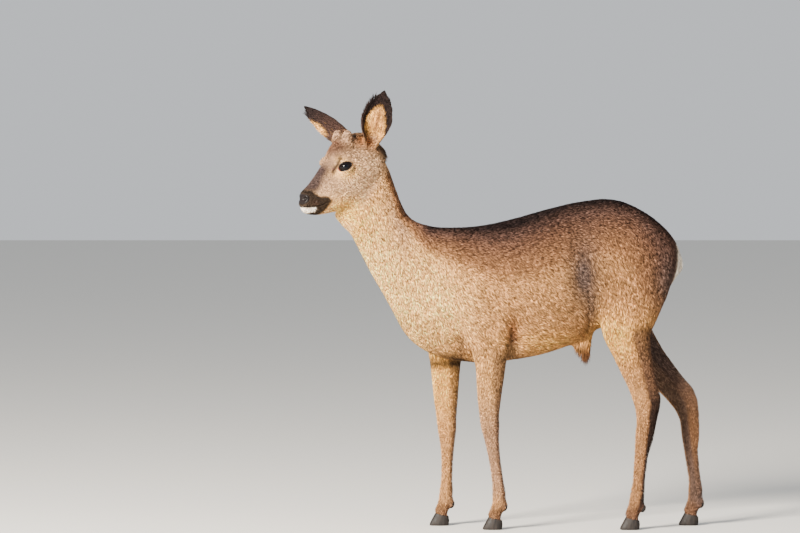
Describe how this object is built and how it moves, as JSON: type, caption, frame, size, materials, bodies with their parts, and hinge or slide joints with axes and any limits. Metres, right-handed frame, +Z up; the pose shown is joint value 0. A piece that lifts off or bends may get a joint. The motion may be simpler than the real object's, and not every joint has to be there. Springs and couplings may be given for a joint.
{
  "type": "roe deer",
  "caption": "A standing young roe buck in winter coat, in profile with its head turned slightly, ears raised and one hind leg set back.",
  "frame": {"origin": "on the floor under the middle of the bounding box", "axes": "+Z up, +X towards the tail, -X the way the deer faces, -Y its left side"},
  "size_m": [0.8565, 0.1938, 0.9222],
  "materials": {
    "coat": "matte",
    "horn": "satin",
    "nose": "satin",
    "eye": "gloss"
  },
  "bodies": {
    "root": {"trunk": "coat", "neck": "coat", "head": "coat", "nose": "nose", "lower_jaw": "coat", "eye_right": "eye", "pedicle_right": "coat", "eye_left": "eye", "pedicle_left": "coat", "ear_left": "coat", "ear_right": "coat", "fore_left_forearm": "coat", "fore_left_cannon": "coat", "fore_left_pastern": "coat", "fore_left_hoof_inner": "horn", "fore_left_dewclaw_inner": "horn", "fore_left_hoof_outer": "horn", "fore_left_dewclaw_outer": "horn", "fore_right_forearm": "coat", "fore_right_cannon": "coat", "fore_right_pastern": "coat", "fore_right_hoof_inner": "horn", "fore_right_dewclaw_inner": "horn", "fore_right_hoof_outer": "horn", "fore_right_dewclaw_outer": "horn", "hind_left_gaskin": "coat", "hind_left_cannon": "coat", "hind_left_pastern": "coat", "hind_left_hoof_inner": "horn", "hind_left_dewclaw_inner": "horn", "hind_left_hoof_outer": "horn", "hind_left_dewclaw_outer": "horn", "hind_right_gaskin": "coat", "hind_right_cannon": "coat", "hind_right_pastern": "coat", "hind_right_hoof_inner": "horn", "hind_right_dewclaw_inner": "horn", "hind_right_hoof_outer": "horn", "hind_right_dewclaw_outer": "horn", "tail": "coat", "sheath": "coat"}
  },
  "joints": []
}
